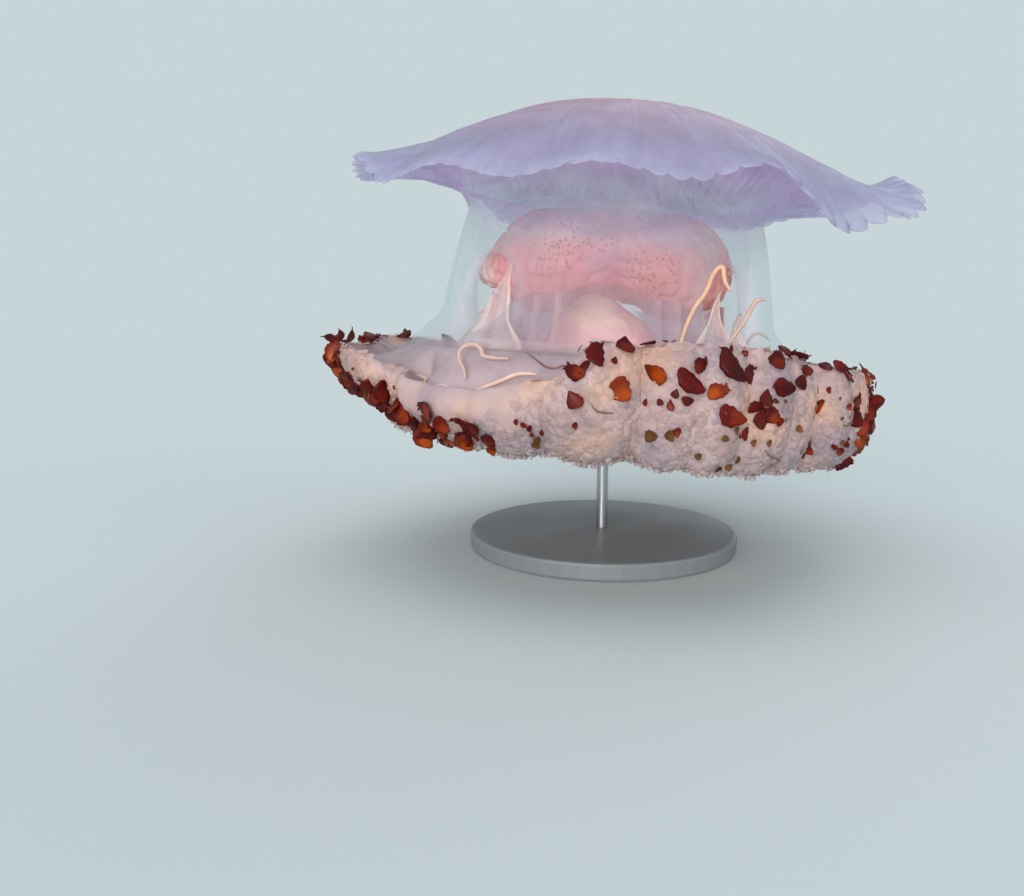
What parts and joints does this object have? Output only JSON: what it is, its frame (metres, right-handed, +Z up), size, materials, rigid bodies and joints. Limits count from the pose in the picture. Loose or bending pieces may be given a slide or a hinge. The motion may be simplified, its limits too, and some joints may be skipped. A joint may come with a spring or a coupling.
{
  "type": "root-mouthed jellyfish museum model",
  "caption": "Life-size museum model of a root-mouthed jellyfish: a low, wavy bell on a windowed column, over a wreath of frilled arms, held by a rod on a round base.",
  "frame": {"origin": "centre of the stand base's underside, on the floor under the middle of the body", "axes": "+X to the body's right as the picture shows it, +Y away from the camera, +Z up; the pictured side faces -Y"},
  "size_m": [0.3882, 0.3676, 0.2997],
  "materials": {
    "bell_jelly": "clear lilac-grey jelly, wet",
    "column_jelly": "clear blue-green jelly, wet",
    "gonad": "soft pink, finely folded",
    "arm_flesh": "milky pinkish white frills with dark red-brown leaves",
    "filament": "cream, smooth",
    "stand_base": "satin dark grey",
    "stand_rod": "brushed"
  },
  "bodies": {
    "root": {"bell_crown": "bell_jelly", "bell_brim_1": "bell_jelly", "bell_brim_2": "bell_jelly", "bell_brim_3": "bell_jelly", "bell_brim_4": "bell_jelly", "bell_brim_5": "bell_jelly", "bell_brim_6": "bell_jelly", "bell_brim_7": "bell_jelly", "bell_brim_8": "bell_jelly", "stomach": "gonad", "oral_pillar_1": "column_jelly", "oral_pillar_2": "column_jelly", "oral_pillar_3": "column_jelly", "oral_pillar_4": "column_jelly", "arm_disc": "arm_flesh", "oral_arm_1": "arm_flesh", "oral_arm_2": "arm_flesh", "oral_arm_3": "arm_flesh", "oral_arm_4": "arm_flesh", "oral_arm_5": "arm_flesh", "oral_arm_6": "arm_flesh", "oral_arm_7": "arm_flesh", "oral_arm_8": "arm_flesh", "filament_hooked": "filament", "filament_leaning": "filament", "filament_curled": "filament", "filament_back_left": "filament", "filament_back": "filament", "filament_back_right": "filament", "stand_base": "stand_base", "stand_rod": "stand_rod"}
  },
  "joints": []
}
